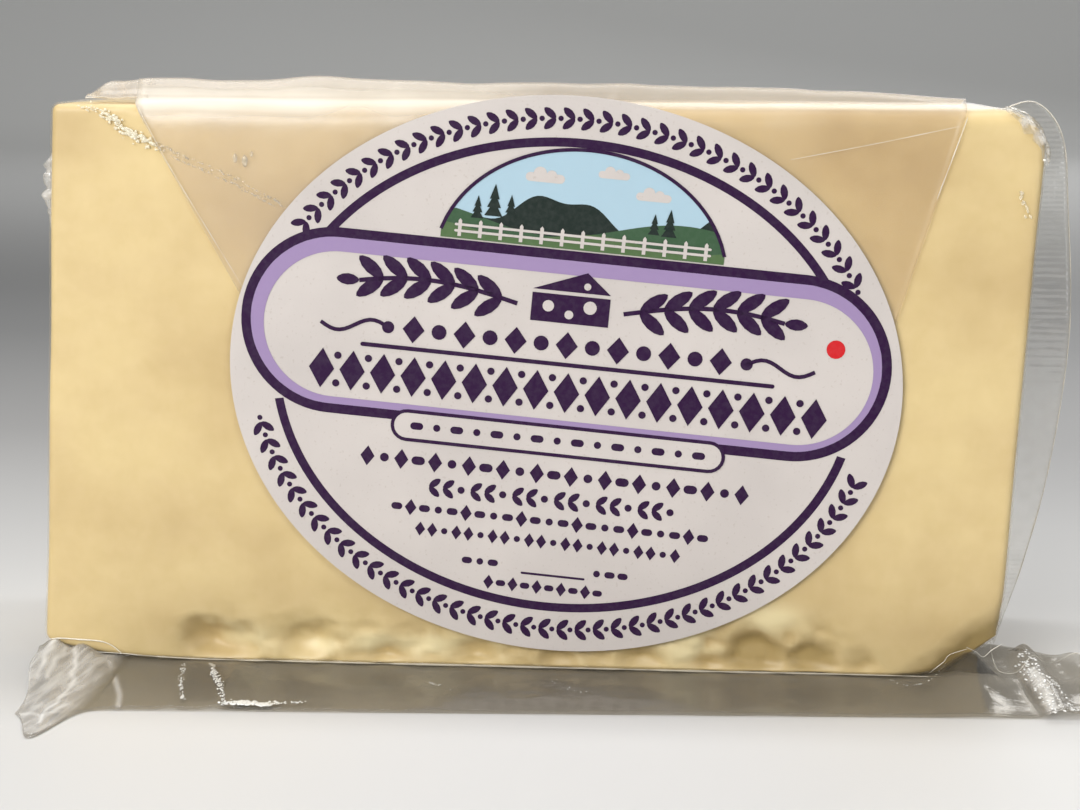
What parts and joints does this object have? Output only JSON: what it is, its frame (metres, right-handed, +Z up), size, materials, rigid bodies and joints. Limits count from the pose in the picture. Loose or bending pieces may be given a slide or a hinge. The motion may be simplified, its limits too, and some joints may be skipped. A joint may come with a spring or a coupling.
{
  "type": "vacuum-packed cheddar block",
  "caption": "Pale cheddar block sealed in a clear vacuum pouch and stood on its long side, with the pouch's top folded over its face, its bottom end spread in front, and an oval paper label.",
  "frame": {"origin": "middle of the block's base, on the surface the pack stands on", "axes": "+X along the block towards the pouch's free sealed edge, -Y out of the labelled face, +Z up"},
  "size_m": [0.1306, 0.0566, 0.068],
  "materials": {
    "wrapped_cheddar": "clear film drawn tight over pale cheese",
    "label_paper": "satin, printed"
  },
  "bodies": {
    "root": {"pouch_with_cheddar": "wrapped_cheddar", "paper_label": "label_paper"}
  },
  "joints": []
}
